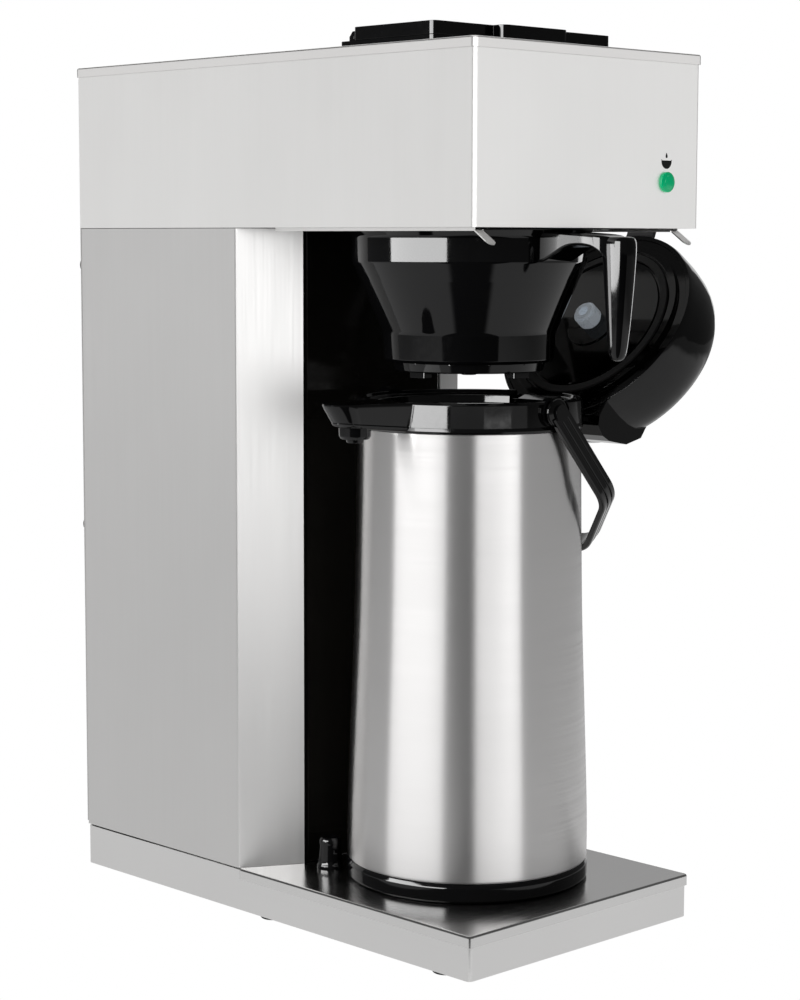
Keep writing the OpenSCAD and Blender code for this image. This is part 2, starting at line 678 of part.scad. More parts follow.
module lid_underside() {
  color("black") place() lid_turn() difference() {
    union() {
      translate([0, 0, rim_z + 0.6]) cylinder(r = 72.4, h = 2.6);
      translate([0, 0, rim_z - 2]) cylinder(r = 66, h = 4);
      translate([0, 0, rim_z - 3]) cylinder(r = 20, h = 4);
      translate([0, 0, rim_z + 2]) cylinder(r = 40, h = 24);
    }
    translate([0, 0, rim_z - 3]) difference() {
      cylinder(r = 61, h = 2.4);
      cylinder(r = 52, h = 5);
    }
    translate([0, 0, rim_z + 5]) cylinder(r = 38, h = 24);
    box(58, 90, -20.5, 20.5, rim_z - 4, rim_z + 0.6);
    translate([0, 0, rim_z - 6]) cylinder(r = 6.05, h = 20);
  }
}
module lid_seal() {
  color("dimgray") place() lid_turn() translate([0, 0, rim_z - 2.6]) difference() {
    cylinder(r = 59, h = 2);
    translate([0, 0, -1]) cylinder(r = 54, h = 4);
  }
}
module lid_nozzle() {
  color("white") place() lid_turn() difference() {
    union() {
      translate([0, 0, rim_z - 15]) cylinder(r = 6.6, h = 2);
      translate([0, 0, rim_z - 13]) cylinder(r = 8.5, h = 8);
      translate([0, 0, rim_z - 5]) cylinder(r = 7, h = 2);
      translate([0, 0, rim_z - 4]) cylinder(r = 6, h = 10);
    }
    translate([0, 0, rim_z - 16]) cylinder(r = 3.6, h = 30);
  }
}
module pump_button() {
  color("black") place() lid_turn() difference() {
    rotate_extrude() polygon([[0, rim_z + 44.5], [38, rim_z + 44.5], [38, rim_z + 45], [43.4, rim_z + 45],
      [43.4, rim_z + 55], [41.4, rim_z + 56.6], [20, rim_z + 57], [0, rim_z + 57]]);
    translate([0, 0, rim_z + 43]) difference() {
      cylinder(r = 40.4, h = 9);
      cylinder(r = 8, h = 12);
    }
  }
}
module pump_spring() {
  color("gray") place() lid_turn() for (k = [0:4]) translate([0, 0, rim_z + 6.8 + 4 * k]) rotate_extrude()
    translate([14, 0]) circle(r = 1.2, $fn = 24);
}
module lid_hinge_pin() {
  color("gray") place() pot() rod_y(hinge_x, -31, 31, hinge_z, 2);
}
module lid_tab() {
  color("dimgray") place() lid_turn() difference() {
    along_y(-12, 12) polygon([[-72.9, rim_z + 4], [-77.2, rim_z + 4], [-88, rim_z + 1], [-88.6, rim_z - 1.6],
      [-86.6, rim_z - 1.6], [-77, rim_z + 0.8], [-72.9, rim_z + 0.8]]);
    difference() {
      translate([0, 0, rim_z - 2]) cylinder(r = 76.3, h = 12);
      translate([0, 0, rim_z - 3]) cylinder(r = 10, h = 20);
    }
  }
}

// ---------- bail ----------
module bail_turn() {
  translate([ax, ay, zb + 315]) rotate([0, bail_drop, 0]) children();
}
module bail_half() {
  polygon([[0, 77], [73, 77], [84, 73.4], [96, 63.6], [112, 47.6], [121, 35], [124.6, 22], [126, 0], [130, 0],
    [128.6, 23], [124.8, 37], [115, 50.6], [98.8, 66.6], [86, 76.8], [74, 81], [0, 81]]);
}
module bail_handle() {
  color("black") place() bail_turn() difference() {
    union() {
      translate([0, 0, -7.75]) linear_extrude(15.5) {
        bail_half();
        mirror([0, 1]) bail_half();
      }
      for (s = [-1, 1]) rod_y(0, s * 79 - 2, s * 79 + 2, 0, 9.6);
    }
    rod_y(0, -90, 90, 0, 3.05);
    for (s = [-1, 1]) box(9.5, 72, s * 81 - 0.7, s * 81 + 0.7, -3.6, -2.2);
    for (s = [-1, 1]) box(9.5, 72, s * 81 - 0.7, s * 81 + 0.7, 2.2, 3.6);
  }
}
module bail_pins() {
  color("black") place() pot() for (s = [-1, 1]) {
    rod_y(0, s > 0 ? 70.4 : -82, s > 0 ? 82 : -70.4, zb + 315, 3);
    rod_y(0, s > 0 ? 81.1 : -83, s > 0 ? 83 : -81.1, zb + 315, 5.6);
  }
}

base_skirt();
base_top_plate();
bottom_pan();
feet();
foot_bolts();
locator_stops();
stop_screws();
side_panel_left();
side_panel_right();
splash_panel();
rear_panel();
rear_panel_screws();
rear_bumpers();
head_shell();
head_lid();
head_bottom_pan();
funnel_rail_left();
funnel_rail_right();
rail_screws();
spray_plate();
spray_fitting();
spray_tube();
fill_tube();
water_basin();
cover_frame();
cover_lid();
cover_hinge_pin();
pilot_lamp_lens();
pilot_lamp_body();
tank();
tank_gasket();
tank_lid();
tank_shelf();
heating_element();
thermostat();
limit_thermostat();
terminal_block();
wiring();
rocker_frame();
rocker();
strain_relief();
power_cord();
brew_funnel();
airpot_base_ring();
airpot_body();
airpot_liner();
airpot_collar();
airpot_spout();
spout_nozzle();
lid_shell();
lid_underside();
lid_seal();
lid_nozzle();
pump_button();
pump_spring();
lid_hinge_pin();
lid_tab();
bail_handle();
bail_pins();
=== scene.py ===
"""Looks of a pour-over airpot coffee brewer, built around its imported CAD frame."""
import json
import math

import bpy
import bmesh
from mathutils import Matrix, Vector

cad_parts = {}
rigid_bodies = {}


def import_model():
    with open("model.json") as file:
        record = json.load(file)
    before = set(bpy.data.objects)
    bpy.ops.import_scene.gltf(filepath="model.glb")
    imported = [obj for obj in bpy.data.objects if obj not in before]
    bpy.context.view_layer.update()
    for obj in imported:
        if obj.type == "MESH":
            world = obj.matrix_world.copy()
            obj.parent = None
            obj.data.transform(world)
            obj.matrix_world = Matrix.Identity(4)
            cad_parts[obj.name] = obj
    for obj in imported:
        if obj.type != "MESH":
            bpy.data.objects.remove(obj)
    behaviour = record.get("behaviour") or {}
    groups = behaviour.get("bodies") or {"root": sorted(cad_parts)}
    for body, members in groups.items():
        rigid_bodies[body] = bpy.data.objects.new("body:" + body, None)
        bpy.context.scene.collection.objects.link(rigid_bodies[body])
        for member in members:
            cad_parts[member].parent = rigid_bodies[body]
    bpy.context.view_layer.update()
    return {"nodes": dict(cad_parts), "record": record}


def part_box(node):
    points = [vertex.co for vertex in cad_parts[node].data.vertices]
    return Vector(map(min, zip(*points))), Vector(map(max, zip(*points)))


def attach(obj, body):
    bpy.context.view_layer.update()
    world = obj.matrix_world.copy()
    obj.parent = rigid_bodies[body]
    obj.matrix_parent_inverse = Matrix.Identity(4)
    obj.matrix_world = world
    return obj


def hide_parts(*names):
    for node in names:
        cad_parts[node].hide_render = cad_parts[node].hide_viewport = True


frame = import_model()
MM = 0.001
NODES = frame["nodes"]
RECORD = frame["record"]
BODY_OF = {n: b for b, ns in RECORD["behaviour"]["bodies"].items() for n in ns}
SLOT_OF = {s["node"]: s["material_slot"] for s in RECORD["subparts"]}
JOINTS = {j["name"]: j for j in RECORD["behaviour"]["joints"]}


def low_mm(node, axis):
    """The lowest coordinate of a CAD node along an axis, in millimetres of the frame."""
    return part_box(node)[0][axis] / MM


def high_mm(node, axis):
    """The highest coordinate of a CAD node along an axis, in millimetres of the frame."""
    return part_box(node)[1][axis] / MM


# Lengths in the shape functions are millimetres, with y measured from the front face of the head.
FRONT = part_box("head_shell")[0][1]
FRONT_MM = FRONT / MM
HALF_WIDTH = high_mm("head_shell", 0)
HEAD_LOW = low_mm("head_shell", 2)
HEAD_TOP = high_mm("head_lid", 2)
BASE_TOP = high_mm("base_top_plate", 2)
DEPTH = high_mm("side_panel_left", 1) - FRONT_MM + 1
WING_Y = low_mm("side_panel_left", 1) - FRONT_MM
WING_DEPTH = 23.5
COLUMN_Y = WING_Y + WING_DEPTH
AXIS_Y = -FRONT_MM
POT_X, POT_Y = 1.0, AXIS_Y + 0.5
BAIL_DROP = math.radians(49)
BAIL_PIVOT = Vector(JOINTS["bail_swing"]["pos_m"]) / MM - Vector((0, FRONT_MM, 0))
BAIL_TURN = Matrix.Translation(BAIL_PIVOT) @ Matrix.Rotation(BAIL_DROP, 4, "Y")


def at(x, y, z):
    """A point in millimetres from the front face, as metres in the frame."""
    return Vector((x * MM, y * MM + FRONT, z * MM))


# ---------------------------------------------------------------- materials
class Graph:
    """A small helper that adds shader nodes and wires them by name."""

    def __init__(self, name):
        self.material = bpy.data.materials.new(name)
        self.material.use_nodes = True
        self.tree = self.material.node_tree
        self.tree.nodes.clear()
        self.out = self.add("ShaderNodeOutputMaterial")

    def add(self, kind, **settings):
        node = self.tree.nodes.new(kind)
        for key, value in settings.items():
            setattr(node, key, value)
        return node

    def link(self, a, output, b, target):
        self.tree.links.new(a.outputs[output], b.inputs[target])

    def noise(self, scale, detail, stretch=(1, 1, 1)):
        coords = self.add("ShaderNodeTexCoord")
        mapping = self.add("ShaderNodeMapping")
        mapping.inputs["Scale"].default_value = stretch
        tex = self.add("ShaderNodeTexNoise")
        tex.inputs["Scale"].default_value = scale
        tex.inputs["Detail"].default_value = detail
        tex.inputs["Roughness"].default_value = 0.55
        self.link(coords, "Object", mapping, "Vector")
        self.link(mapping, "Vector", tex, "Vector")
        return tex

    def ramp(self, source, output, start, end, low, high, **settings):
        """Maps a value that runs from start to end onto low to high."""
        ranged = self.add("ShaderNodeMapRange", **settings)
        for key, value in (("From Min", start), ("From Max", end), ("To Min", low), ("To Max", high)):
            ranged.inputs[key].default_value = value
        self.link(source, output, ranged, "Value")
        return ranged

    def spread(self, tex, low, high):
        """The middle of a noise's range, spread over low to high."""
        return self.ramp(tex, "Fac", 0.3, 0.7, low, high)

    def tint(self, tex, dark, light):
        """A colour that varies with a noise; its colour is output 2."""
        mix = self.add("ShaderNodeMix", data_type="RGBA")
        mix.inputs[6].default_value = (*dark, 1)
        mix.inputs[7].default_value = (*light, 1)
        fac = self.spread(tex, 0, 1)
        self.link(fac, "Result", mix, 0)
        return mix

    def bump(self, tex, strength, distance):
        bump = self.add("ShaderNodeBump")
        bump.inputs["Strength"].default_value = strength
        bump.inputs["Distance"].default_value = distance
        self.link(tex, "Fac", bump, "Height")
        return bump

    def principled(self, **values):
        shader = self.add("ShaderNodeBsdfPrincipled")
        for key, value in values.items():
            shader.inputs[key.replace("_", " ")].default_value = value
        self.link(shader, "BSDF", self.out, "Surface")
        return shader


def scaled(color, share):
    return tuple(min(1.0, channel * share) for channel in color)


def brushed_steel(name, color, rough, stretch, grain=0.02, anisotropy=0.0, tangent=None):
    """Steel brushed in one direction. With a tangent axis the reflections spread along that axis."""
    g = Graph(name)
    shader = g.principled(Metallic=1.0, Anisotropic=anisotropy)
    fine = g.noise(900, 6, stretch)
    broad = g.noise(5, 3)
    g.link(g.tint(broad, scaled(color, 0.975), scaled(color, 1.02)), 2, shader, "Base Color")
    g.link(g.spread(fine, rough - 0.03, rough + 0.04), "Result", shader, "Roughness")
    g.link(g.bump(fine, grain, 0.0002), "Normal", shader, "Normal")
    if tangent:
        around = g.add("ShaderNodeTangent", direction_type="RADIAL", axis=tangent)
        g.link(around, "Tangent", shader, "Tangent")
        shader.inputs["Anisotropic Rotation"].default_value = 0.25
    return g.material


def gloss_plastic(name, color, rough=0.06):
    """Moulded gloss plastic with a faint waviness."""
    g = Graph(name)
    shader = g.principled(IOR=1.42)
    broad = g.noise(22, 3)
    fine = g.noise(260, 4)
    g.link(g.tint(broad, scaled(color, 0.85), scaled(color, 1.2)), 2, shader, "Base Color")
    g.link(g.spread(fine, rough * 0.8, rough * 1.5), "Result", shader, "Roughness")
    g.link(g.bump(broad, 0.012, 0.001), "Normal", shader, "Normal")
    return g.material


def grained(name, color, rough):
    """A matt material with a fine grain."""
    g = Graph(name)
    shader = g.principled()
    fine = g.noise(900, 5)
    broad = g.noise(18, 3)
    g.link(g.tint(broad, scaled(color, 0.85), scaled(color, 1.15)), 2, shader, "Base Color")
    g.link(g.spread(fine, rough - 0.06, rough + 0.08), "Result", shader, "Roughness")
    g.link(g.bump(fine, 0.25, 0.0003), "Normal", shader, "Normal")
    return g.material


def clear_plastic(name, color, rough, transmission, glow=0.0):
    """Plastic that lets light through, with an optional glow that stands in for light scattered inside it."""
    g = Graph(name)
    shader = g.principled(IOR=1.45)
    shader.inputs["Transmission Weight"].default_value = transmission
    shader.inputs["Emission Color"].default_value = (*color, 1)
    shader.inputs["Emission Strength"].default_value = glow
    broad = g.noise(120, 3)
    g.link(g.tint(broad, scaled(color, 0.9), scaled(color, 1.08)), 2, shader, "Base Color")
    g.link(g.spread(broad, rough * 0.8, rough * 1.2), "Result", shader, "Roughness")
    return g.material


# Stretch of the brushing noise along the direction of the brush lines
UPRIGHT = (1, 1, 0.012)
LEVEL = (0.012, 0.012, 1)
SIDEWAYS = (0.012, 1, 1)
MATERIALS = {
    # The head, head lid, column and base are one stainless steel. Their colours differ part by part only to
    # paint the light and shade each part gets, and the column is darkest, as painted shade.
    "head": brushed_steel("head steel", (0.86, 0.855, 0.845), 0.42, UPRIGHT),
    "lid": brushed_steel("head lid steel", (0.80, 0.79, 0.78), 0.34, SIDEWAYS),
    "column": brushed_steel("column steel", (0.635, 0.63, 0.625), 0.40, UPRIGHT),
    "base": brushed_steel("base steel", (0.72, 0.715, 0.71), 0.34, SIDEWAYS),
    "base_top": brushed_steel("base top steel", (0.70, 0.695, 0.69), 0.20, SIDEWAYS),
    "pot": brushed_steel("airpot steel", (0.80, 0.79, 0.785), 0.34, LEVEL, 0.012, 1.0, "Z"),
    "inner": brushed_steel("inner steel", (0.66, 0.66, 0.65), 0.35, UPRIGHT),
    "zinc": brushed_steel("bright zinc", (0.72, 0.72, 0.71), 0.22, (1, 1, 1)),
    "gloss": gloss_plastic("black gloss plastic", (0.0009, 0.0009, 0.001)),
    "panel": gloss_plastic("black gloss panel", (0.006, 0.0054, 0.0045), 0.14),
    "lining": gloss_plastic("black gloss lining", (0.0009, 0.0009, 0.001)),
    "matte": grained("black textured plastic", (0.012, 0.012, 0.012), 0.4),
    "rubber": grained("black rubber", (0.02, 0.02, 0.02), 0.7),
    "grey": grained("dark grey plastic", (0.035, 0.035, 0.038), 0.35),
    "print": grained("black print", (0.012, 0.012, 0.012), 0.6),
    "wire": grained("red wire insulation", (0.5, 0.05, 0.04), 0.4),
    "ceramic": grained("ceramic", (0.75, 0.72, 0.65), 0.5),
    "red": grained("red silicone", (0.42, 0.07, 0.05), 0.5),
    "silicone": clear_plastic("silicone tube", (0.78, 0.79, 0.79), 0.35, 0.25),
    "white": clear_plastic("frosted white plastic", (0.72, 0.77, 0.82), 0.28, 0.15, 0.12),
    "green": clear_plastic("green lens", (0.0, 0.50, 0.20), 0.12, 0.1, 0.3),
}
BY_SLOT = {
    "stainless": "head", "pot_steel": "pot", "inner_steel": "inner", "zinc": "zinc",
    "black_gloss": "gloss", "black_matte": "matte", "rubber": "rubber", "silicone": "silicone",
    "seal_red": "red", "lens_green": "green", "white_plastic": "white", "grey_plastic": "grey",
    "wire": "wire", "ceramic": "ceramic",
}
BY_NODE = {
    # head_bottom_pan gets black matte plastic in place of steel, as painted shade under the head.
    "base_skirt": "base", "head_bottom_pan": "matte", "lid_underside": "lining", "splash_panel": "panel",
    "rear_panel": "column", "spray_plate": "inner", "locator_stops": "gloss", "spout_nozzle": "gloss",
}
# Edge rounds of the CAD nodes
FINE_EDGE_MM = 0.25
EDGE_MM = {"cover_lid": 0.7, "cover_frame": 0.6, "lid_shell": 0.5, "lid_underside": 0.5}


def finish_cad_node(name, obj):
    """Gives a CAD node its material, welded seams and small edge rounds, and keeps its flat faces flat."""
    obj.data.materials.clear()
    obj.data.materials.append(MATERIALS[BY_NODE.get(name, BY_SLOT[SLOT_OF[name]])])
    weld = obj.modifiers.new("weld", "WELD")
    weld.merge_threshold = 0.01 * MM
    if name in EDGE_MM:
        merge = obj.modifiers.new("flat", "DECIMATE")
        merge.decimate_type = "DISSOLVE"
        merge.angle_limit = math.radians(0.5)
    bevel = obj.modifiers.new("edge", "BEVEL")
    bevel.width = EDGE_MM.get(name, FINE_EDGE_MM) * MM
    bevel.segments = 3 if name in EDGE_MM else 2
    bevel.limit_method = "ANGLE"
    bevel.angle_limit = math.radians(38)
    keep_faces_flat(obj)


def keep_faces_flat(obj):
    weighted = obj.modifiers.new("flat faces", "WEIGHTED_NORMAL")
    weighted.keep_sharp = True


for node_name, node_object in NODES.items():
    finish_cad_node(node_name, node_object)


# ---------------------------------------------------------------- mesh tools
def fillet(points, closed=True, step=math.radians(9)):
    """Rounds the corners of a flat outline. points are (u, v) or (u, v, radius)."""
    out, count = [], len(points)
    for i, point in enumerate(points):
        here = Vector(point[:2])
        radius = point[2] if len(point) > 2 else 0
        if not radius or (not closed and i in (0, count - 1)):
            out.append(here)
            continue
        back = (Vector(points[i - 1][:2]) - here).normalized()
        ahead = (Vector(points[(i + 1) % count][:2]) - here).normalized()
        half = back.angle(ahead) / 2
        if half > math.radians(89.5):
            out.append(here)
            continue
        centre = here + (back + ahead).normalized() * (radius / math.sin(half))
        first = here + back * (radius / math.tan(half)) - centre
        sweep = math.pi - 2 * half
        if first.x * ahead.y - first.y * ahead.x < 0:
            sweep = -sweep
        steps = max(2, round(abs(sweep) / step))
        for k in range(steps + 1):
            angle = sweep * k / steps
            out.append(centre + Vector((first.x * math.cos(angle) - first.y * math.sin(angle),
                                        first.x * math.sin(angle) + first.y * math.cos(angle))))
    return out


def curve_through(points, steps=8):
    """A smooth line through (u, v) points."""
    out = []
    for i in range(len(points) - 1):
        before, start, end = (Vector(points[max(0, i - 1)]), Vector(points[i]), Vector(points[i + 1]))
        after = Vector(points[min(len(points) - 1, i + 2)])
        square = 2 * before - 5 * start + 4 * end - after
        cube = 3 * start - before - 3 * end + after
        for k in range(steps):
            t = k / steps
            out.append(0.5 * (2 * start + (end - before) * t + square * t * t + cube * t ** 3))
    out.append(Vector(points[-1]))
    return out


def raised(points, height):
    """Outline points of (u, z) or (u, z, radius), with z counted from height."""
    return [(u, height + z, *radius) for u, z, *radius in points]


def turns(count):
    """Evenly spaced angles round a full turn."""
    return [2 * math.pi * k / count for k in range(count)]


class Build:
    """Collects rings of points in millimetres and joins them into one mesh piece."""

    def __init__(self, place=None):
        self.mesh = bmesh.new()
        self.place = place or Matrix.Identity(4)

    def ring(self, points):
        """Points as vertices of the mesh, moved by self.place."""
        return [self.mesh.verts.new(at(*(self.place @ Vector(p)))) for p in points]

    def bridge(self, first, second, closed=True):
        """Faces between two rings of the same length."""
        count = len(first)
        for i in range(count if closed else count - 1):
            j = (i + 1) % count
            self.mesh.faces.new((first[i], first[j], second[j], second[i]))

    def loft(self, rings, caps=True, loop=False, closed=True):
        """A skin over rings. loop joins the last ring to the first, and closed is for rings that close."""
        made = [self.ring(r) for r in rings]
        for first, second in zip(made, made[1:]):
            self.bridge(first, second, closed)
        if loop:
            self.bridge(made[-1], made[0], closed)
        elif caps:
            self.mesh.faces.new(made[0][::-1])
            self.mesh.faces.new(made[-1])
        return self

    def lathe(self, outline, centre, closed=True, segments=144, gap=0.0):
        """Turns an outline of (radius, z) about an upright axis, open for gap radians either side of +x."""
        rings = []
        for k in range(segments + (1 if gap else 0)):
            turn = gap + (2 * math.pi - 2 * gap) * k / segments
            rings.append([(centre[0] + radius * math.cos(turn), centre[1] + radius * math.sin(turn), z)
                          for radius, z in outline])
        return self.loft(rings, caps=bool(gap), loop=not gap, closed=closed)

    def boss(self, outline, centre=(0, 0, 0)):
        """Turns an outline of (radius, y) about the axis through centre that runs along y."""
        x0, y0, z0 = centre
        rings = [[(x0 + radius * math.cos(turn), y0 + y, z0 + radius * math.sin(turn))
                  for radius, y in outline] for turn in turns(72)]
        return self.loft(rings, caps=False, loop=True)

    def slab(self, outline, low, high, edge):
        """A flat outline stood up from low to high with its rims rounded.

        outline(d) is the outline pulled in by d.
        """
        steps = [(edge * (1 - math.sin(a)), edge * (1 - math.cos(a))) for a in
                 (math.radians(18 * k) for k in range(6))]
        rings = [[(*p, low + rise) for p in outline(inset)] for inset, rise in steps]
        rings += [[(*p, high - rise) for p in outline(inset)] for inset, rise in reversed(steps)]
        return self.loft(rings)

    def piece(self, name, material, *nodes, body=None, slot=None):
        """Adds the mesh to the scene in place of the named CAD nodes, or as an extra piece on a body."""
        bmesh.ops.remove_doubles(self.mesh, verts=self.mesh.verts, dist=1e-7)
        bmesh.ops.dissolve_degenerate(self.mesh, edges=self.mesh.edges, dist=1e-8)
        bmesh.ops.recalc_face_normals(self.mesh, faces=self.mesh.faces)
        data = bpy.data.meshes.new(name)
        self.mesh.to_mesh(data)
        self.mesh.free()
        data.shade_smooth()
        data.set_sharp_from_angle(angle=math.radians(35))
        data.materials.append(MATERIALS[material])
        obj = bpy.data.objects.new(name, data)
        bpy.context.scene.collection.objects.link(obj)
        keep_faces_flat(obj)
        if nodes:
            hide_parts(*nodes)
        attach(obj, body or BODY_OF[nodes[0]])
        return obj


def rounded(x0, x1, y0, y1, radius):
    """A rounded rectangle as a function of how far it is pulled in."""
    def outline(inset=0.0):
        r = max(0.05, radius - inset)
        a, b, c, d = x0 + inset, x1 - inset, y0 + inset, y1 - inset
        return fillet([(a, c, r), (b, c, r), (b, d, r), (a, d, r)])
    return outline


def pulled(points):
    """A filleted outline as a function of how far it is pulled in."""
    outline = fillet(points)
    area = sum(a.x * b.y - b.x * a.y for a, b in zip(outline, outline[1:] + outline[:1]))
    outward = []
    for i in range(len(outline)):
        run = (outline[(i + 1) % len(outline)] - outline[i - 1]).normalized()
        outward.append(Vector((run.y, -run.x)) * math.copysign(1, area))
    return lambda inset=0.0: [p - n * inset for p, n in zip(outline, outward)]


# Shares of the run and of the rise round a quarter circle
QUARTER = [(1 - math.cos(math.pi * k / 10), math.sin(math.pi * k / 10)) for k in range(6)]


# ---------------------------------------------------------------- sheet metal
GAUGE = 1.0


def folded_cap(name, node, outline, low, high, fold, material, hole=None):
    """A tray turned upside down: a flat top whose rims fold down, with rounded folds and a sheet edge."""
    tight = fold - 0.6 * GAUGE
    outer = [[(*p, low) for p in outline()]]
    outer += [[(*p, high - fold + fold * rise) for p in outline(fold * run)] for run, rise in QUARTER]
    inner = [[(*p, low) for p in outline(GAUGE)]]
    inner += [[(*p, high - GAUGE - tight + tight * rise) for p in outline(GAUGE + tight * run)]
              for run, rise in QUARTER]
    build = Build()
    if hole:
        rim = [[(*p, high) for p in hole()], [(*p, high - GAUGE) for p in hole()]]
        build.loft(outer + rim + inner[::-1], loop=True)
    else:
        build.loft(inner[::-1] + outer)
    return build.piece(name, material, node)


def sheet_wall(name, material, node, path, low, high, place=None):
    """Sheet metal bent along a plan path of (x, y, bend radius), with its gauge to the left of the path."""
    def offset(distance):
        corners = []
        for i, (x, y, radius) in enumerate(path):
            here = Vector((x, y))
            runs = []
            if i:
                runs.append((here - Vector(path[i - 1][:2])).normalized())
            if i < len(path) - 1:
                runs.append((Vector(path[i + 1][:2]) - here).normalized())
            normals = [Vector((-d.y, d.x)) for d in runs]
            miter = sum(normals, Vector((0, 0))).normalized()
            corner = here + miter * (distance / miter.dot(normals[0]))
            corners.append((*corner, max(0, radius - distance)))
        return fillet(corners, closed=False, step=math.radians(12))
    outline = offset(0) + offset(GAUGE)[::-1]
    rings = [[(*p, low) for p in outline], [(*p, high) for p in outline]]
    return Build(place).loft(rings).piece(name, material, node)


MIRROR = Matrix.Scale(-1, 4, (1, 0, 0))


def make_sheet_metal():
    overhang = 1.2
    lid = rounded(-HALF_WIDTH - overhang, HALF_WIDTH + overhang, -overhang, DEPTH + 1.6, 4)
    folded_cap("head_lid_folded", "head_lid", lid, HEAD_TOP - 6.4, HEAD_TOP, 1.4, "lid",
               hole=rounded(-70, 70, 66, 126, 1.0))
    plate = rounded(-HALF_WIDTH - 0.6, HALF_WIDTH + 0.6, -0.5, COLUMN_Y, 3)
    folded_cap("base_plate_folded", "base_top_plate", plate, BASE_TOP - 7.4, BASE_TOP, 1.6, "base_top")
    wall = [(-92, DEPTH - 1, 0), (-HALF_WIDTH, DEPTH - 1, 1.6), (-HALF_WIDTH, COLUMN_Y, 2.4),
            (-62, WING_Y, 1.8), (-62, WING_Y + 12, 0)]
    low, high = BASE_TOP + 0.1, HEAD_LOW - 0.4
    sheet_wall("left_wall", "column", "side_panel_left", wall, low, high)
    sheet_wall("right_wall", "column", "side_panel_right", wall, low, high, MIRROR)


# ---------------------------------------------------------------- airpot
def make_airpot():
    centre = (POT_X, POT_Y)
    outside = curve_through([(80.6, 46.8), (80.4, 80), (78.1, 149), (75.8, 217), (74.4, 304), (74.2, 333.8)])
    inside = [Vector((p.x - 1, p.y)) for p in reversed(outside)]
    floor = [Vector(p) for p in ((20, 45.1), (79.0, 45.1), (79.9, 45.4), (80.4, 46.0))]
    shell = floor + outside + inside + [Vector((78.6, 46.6)), Vector((20, 46.6))]
    Build().lathe(shell, centre, closed=False, segments=192).piece("airpot_shell", "pot", "airpot_body")
    ring = fillet(raised([(58, 3, 1), (62, 0.1, 1), (79.2, 0.1, 1.6), (81, 2.4, 2), (81, 10.4, 2),
                          (79.6, 13, 1.2), (58, 13, 1)], BASE_TOP))
    Build().lathe(ring, centre).piece("airpot_foot_ring", "gloss", "airpot_base_ring")


def make_collar():
    """The collar: a ring open at the hinge side, with the bosses of the bail and the knuckles of the lid."""
    centre = (POT_X, POT_Y)
    opening = math.asin(21.5 / 70)
    foot = [(44.1, 302.2), (75.2, 302.2, 0.5), (75.5, 303.8, 0.6)]
    ring = foot + [(74.9, 304.8, 0.4), (74.7, 320.4, 1), (73.4, 322, 0.8), (70.8, 322, 0.8),
                   (69.8, 319.6, 0.6), (62, 318.6, 0.6), (61.4, 313.4, 0.6), (50, 308.4, 0.6), (44.1, 308)]
    sill = foot + [(74.9, 306, 0.4), (44.1, 306)]
    build = Build().lathe(fillet(raised(ring, BASE_TOP)), centre, segments=180, gap=opening)
    build.lathe(fillet(raised(sill, BASE_TOP)), centre, segments=180)
    knuckle = pulled(raised([(66, 304, 0.6), (75, 304, 1), (78, 307, 2), (78, 319, 4.8), (68, 319, 4.8),
                             (68, 312, 1), (66, 311, 0.6)], BASE_TOP))
    stood_up = Matrix(((1, 0, 0, POT_X), (0, 0, 1, POT_Y), (0, 1, 0, 0), (0, 0, 0, 1)))
    for side in (-1, 1):
        inner, outer = side * 70, side * 76.8
        disc = fillet([(3.1, inner), (9.2, inner), (9.2, outer, 0.9), (3.1, outer, 0.4)])
        build.boss(disc, (*centre, BASE_TOP + 315))
        build.place = stood_up
        build.slab(knuckle, side * 27 - 4, side * 27 + 4, 0.5)
        build.place = Matrix.Identity(4)
    build.piece("collar_ring", "gloss", "airpot_collar")


def spout_ring(share, nose_x, nose_r, side):
    """Plan of the spout at a share of the way down its side, which is taller at the collar end."""
    back, steps, spread = -70.5, 20, 0.18
    points = [(back, side)]
    for k in range(steps + 1):
        turn = math.pi / 2 - spread + (math.pi + 2 * spread) * k / steps
        points.append((nose_x + nose_r * math.cos(turn), nose_r * math.sin(turn)))
    points.append((back, -side))
    return [(POT_X + x, POT_Y + y, BASE_TOP + 322 - share * (19.4 + 0.102 * (x + 74))) for x, y in points]


def make_spout():
    # share of the way down, x of the nose's centre, nose radius, half width at the collar
    levels = [(1, -106.5, 8.6, 15.5), (0.985, -107, 9.6, 16.8), (0.93, -107.6, 10.6, 17.9),
              (0.84, -108.4, 11.1, 18.6), (0.80, -108.7, 10.6, 18.1), (0.74, -109.2, 11, 18.6),
              (0.45, -111.2, 11.9, 19.5), (0.2, -113.2, 12.4, 20.2), (0.08, -113.9, 12.5, 20.4),
              (0.02, -114, 12.1, 20.1), (0, -113.9, 11.4, 19.4)]
    Build().loft([spout_ring(*level) for level in levels]).piece("spout_body", "gloss", "airpot_spout")
    outlet = fillet(raised([(4.2, 296.8), (5.3, 296.8, 0.5), (5.8, 299, 0.3), (9, 299.1, 1), (10.2, 301, 1),
                            (10.5, 307.4, 0.4), (7, 307.4), (7, 311), (4.2, 311)], BASE_TOP))
    outlet_x = POT_X - 103
    Build().lathe(outlet, (outlet_x, POT_Y), segments=72).piece("spout_outlet", "gloss", "spout_nozzle")


# ---------------------------------------------------------------- brew funnel
def superellipse(half_u, half_v, power=2.3, count=44):
    """An oval with slightly squared sides."""
    out = []
    for turn in turns(count):
        across, along = math.cos(turn), math.sin(turn)
        out.append((half_u * math.copysign(abs(across) ** (2 / power), across),
                    half_v * math.copysign(abs(along) ** (2 / power), along)))
    return out


def smooth_rows(rows, steps=4):
    """Rows of numbers with smoothly blended rows added between them."""
    columns = [[] for _ in rows[0]]
    for i, column in enumerate(columns):
        column += [p.y for p in curve_through([(k, row[i]) for k, row in enumerate(rows)], steps)]
    return list(zip(*columns))


